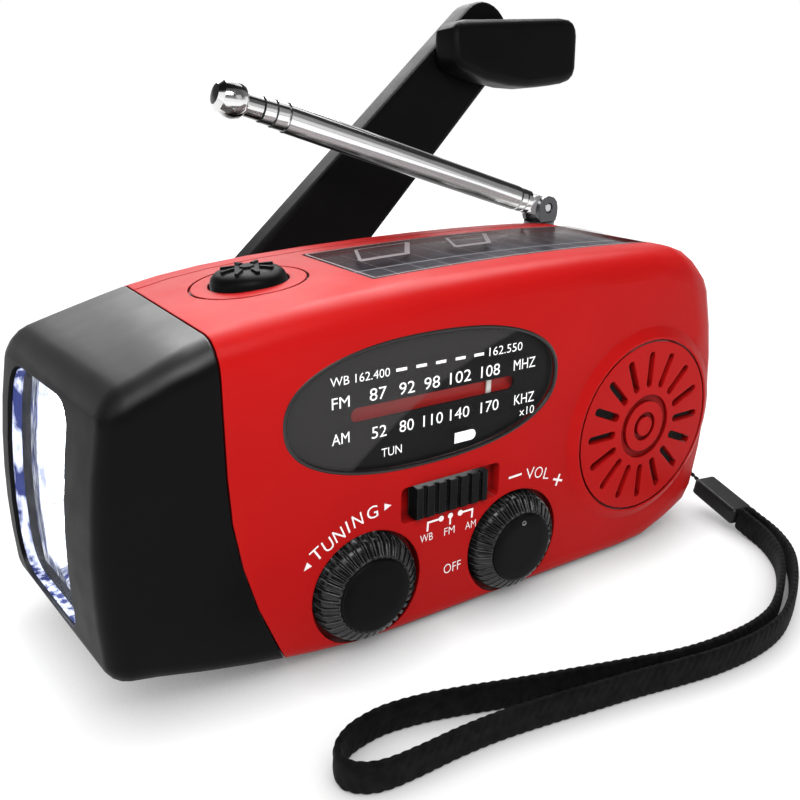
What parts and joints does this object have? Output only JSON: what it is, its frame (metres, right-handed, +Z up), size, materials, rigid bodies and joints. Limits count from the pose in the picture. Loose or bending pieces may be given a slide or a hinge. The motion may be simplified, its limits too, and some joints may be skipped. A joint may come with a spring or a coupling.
{
  "type": "emergency radio",
  "caption": "Hand-cranked pocket radio with a solar top, an end lamp, a telescopic antenna, dial, knobs, a round speaker grille and a wrist strap.",
  "frame": {"origin": "centre of the flat underside of the case", "axes": "+Z up, +X along the case from the lamp towards the speaker, -Y out of the face with the dial and knobs"},
  "size_m": [0.1339, 0.1012, 0.1033],
  "materials": {
    "front_cover": "satin moulded",
    "rear_cover": "satin moulded",
    "lamp_housing": "fine matt",
    "lamp_lens": "clear polycarbonate",
    "reflector": "vacuum metallised",
    "led_1": "lit diode",
    "led_2": "lit diode",
    "led_3": "lit diode",
    "led_board": "solder mask",
    "dial_window": "clear polycarbonate",
    "dial_plate": "printed",
    "dial_strip": "satin moulded",
    "dial_pointer": "lit diode",
    "tuning_knob": "fine matt",
    "tuning_capacitor": "nylon",
    "volume_knob": "fine matt",
    "volume_control": "plain",
    "band_switch": "fine matt",
    "switch_body": "plain",
    "speaker_cloth": "braided nylon",
    "speaker_basket": "plain",
    "speaker_cone": "paper cone",
    "speaker_magnet": "plain",
    "solar_window": "clear polycarbonate",
    "solar_cells": "silicon cells",
    "lamp_button": "fine matt",
    "button_switch": "plain",
    "main_board": "solder mask",
    "battery": "shrink wrap",
    "battery_door": "satin moulded",
    "usb_port": "plain",
    "charge_port": "plain",
    "port_cover": "soft",
    "crank_hub": "fine matt",
    "crank_shaft": "plain",
    "crank_bush": "plain",
    "crank_hinge_pin": "plain",
    "crank_arm": "fine matt",
    "grip_pin": "plain",
    "crank_grip": "fine matt",
    "crank_gear": "nylon",
    "dynamo_rotor": "plain",
    "dynamo_can": "plain",
    "gear_plate": "plain",
    "antenna_turret": "polished",
    "antenna_pin": "plain",
    "antenna_foot": "polished",
    "antenna_tube_1": "polished",
    "antenna_tube_2": "polished",
    "antenna_tube_3": "polished",
    "antenna_rod": "polished",
    "strap_bar": "plain",
    "strap_thread": "braided nylon",
    "strap_clip": "fine matt",
    "wrist_strap": "braided nylon"
  },
  "bodies": {
    "case": {"front_cover": "front_cover", "rear_cover": "rear_cover", "lamp_housing": "lamp_housing", "lamp_lens": "lamp_lens", "reflector": "reflector", "led_1": "led_1", "led_2": "led_2", "led_3": "led_3", "led_board": "led_board", "dial_window": "dial_window", "dial_plate": "dial_plate", "dial_strip": "dial_strip", "tuning_capacitor": "tuning_capacitor", "volume_control": "volume_control", "switch_body": "switch_body", "speaker_cloth": "speaker_cloth", "speaker_basket": "speaker_basket", "speaker_cone": "speaker_cone", "speaker_magnet": "speaker_magnet", "solar_window": "solar_window", "solar_cells": "solar_cells", "button_switch": "button_switch", "main_board": "main_board", "battery": "battery", "usb_port": "usb_port", "charge_port": "charge_port", "crank_bush": "crank_bush", "dynamo_can": "dynamo_can", "gear_plate": "gear_plate", "strap_bar": "strap_bar", "strap_thread": "strap_thread", "strap_clip": "strap_clip", "wrist_strap": "wrist_strap"},
    "tuning": {"tuning_knob": "tuning_knob"},
    "pointer": {"dial_pointer": "dial_pointer"},
    "volume": {"volume_knob": "volume_knob"},
    "band": {"band_switch": "band_switch"},
    "button": {"lamp_button": "lamp_button"},
    "door": {"battery_door": "battery_door"},
    "flap": {"port_cover": "port_cover"},
    "crank": {"crank_hub": "crank_hub", "crank_shaft": "crank_shaft", "crank_gear": "crank_gear", "crank_hinge_pin": "crank_hinge_pin"},
    "arm": {"crank_arm": "crank_arm", "grip_pin": "grip_pin"},
    "grip": {"crank_grip": "crank_grip"},
    "dynamo": {"dynamo_rotor": "dynamo_rotor"},
    "turret": {"antenna_turret": "antenna_turret", "antenna_pin": "antenna_pin"},
    "antenna_base": {"antenna_foot": "antenna_foot", "antenna_tube_1": "antenna_tube_1"},
    "antenna_second": {"antenna_tube_2": "antenna_tube_2"},
    "antenna_third": {"antenna_tube_3": "antenna_tube_3"},
    "antenna_tip": {"antenna_rod": "antenna_rod"}
  },
  "joints": [
    {"name": "crank_spin", "type": "hinge", "parent": "case", "child": "crank", "pos_m": [-0.0192, 0.0215, 0.042], "axis": [0, -1, 0], "continuous": true},
    {"name": "arm_fold", "type": "hinge", "parent": "crank", "child": "arm", "pos_m": [-0.0192, 0.0272, 0.042], "axis": [-0.6481, 0, 0.7615], "range_deg": [0, 172]},
    {"name": "grip_spin", "type": "hinge", "parent": "arm", "child": "grip", "pos_m": [0.04166, 0.03843, 0.09379], "axis": [-0.106, 0.9903, -0.0902], "continuous": true},
    {"name": "dynamo_spin", "type": "hinge", "parent": "case", "child": "dynamo", "pos_m": [-0.00891, 0.0157, 0.02974], "axis": [0, -1, 0], "continuous": true},
    {"name": "antenna_swivel", "type": "hinge", "parent": "case", "child": "turret", "pos_m": [0.0466, 0.0178, 0.057], "axis": [0, 0, 1], "range_deg": [0, 180]},
    {"name": "antenna_tilt", "type": "hinge", "parent": "turret", "child": "antenna_base", "pos_m": [0.0466, 0.0178, 0.0618], "axis": [0, 1, 0], "range_deg": [-13, 144]},
    {"name": "antenna_slide_2", "type": "slide", "parent": "antenna_base", "child": "antenna_second", "axis": [-0.9562, 0, 0.2929], "range_m": [0, 0.05]},
    {"name": "antenna_slide_3", "type": "slide", "parent": "antenna_second", "child": "antenna_third", "axis": [-0.9562, 0, 0.2929], "range_m": [0, 0.05]},
    {"name": "antenna_slide_4", "type": "slide", "parent": "antenna_third", "child": "antenna_tip", "axis": [-0.9562, 0, 0.2929], "range_m": [0, 0.05]},
    {"name": "tuning_turn", "type": "hinge", "parent": "case", "child": "tuning", "pos_m": [-0.0213, -0.0225, 0.0112], "axis": [0, 1, 0], "range_deg": [-225, 40]},
    {"name": "pointer_slide", "type": "slide", "parent": "case", "child": "pointer", "axis": [1, 0, 0], "range_m": [-0.0245, 0.005]},
    {"name": "volume_turn", "type": "hinge", "parent": "case", "child": "volume", "pos_m": [0.0082, -0.0225, 0.0108], "axis": [0, 1, 0], "range_deg": [-150, 120]},
    {"name": "band_slide", "type": "slide", "parent": "case", "child": "band", "axis": [1, 0, 0], "range_m": [-0.0022, 0.0026]},
    {"name": "button_press", "type": "slide", "parent": "case", "child": "button", "axis": [0.0958, 0, -0.9954], "range_m": [0, 0.0008], "stiffness_N_per_m": 400, "springref_m": -0.0003},
    {"name": "door_swing", "type": "hinge", "parent": "case", "child": "door", "pos_m": [0.025, 0.0225, 0.005], "axis": [-1, 0, 0], "range_deg": [0, 90]},
    {"name": "flap_swing", "type": "hinge", "parent": "case", "child": "flap", "pos_m": [0.0385, 0.0227, 0.033], "axis": [-1, 0, 0], "range_deg": [0, 90]}
  ],
  "couplings": [
    {"joint": "dynamo_spin", "follows": "crank_spin", "ratio": -4},
    {"joint": "pointer_slide", "follows": "tuning_turn", "m_per_rad": 0.00615}
  ]
}
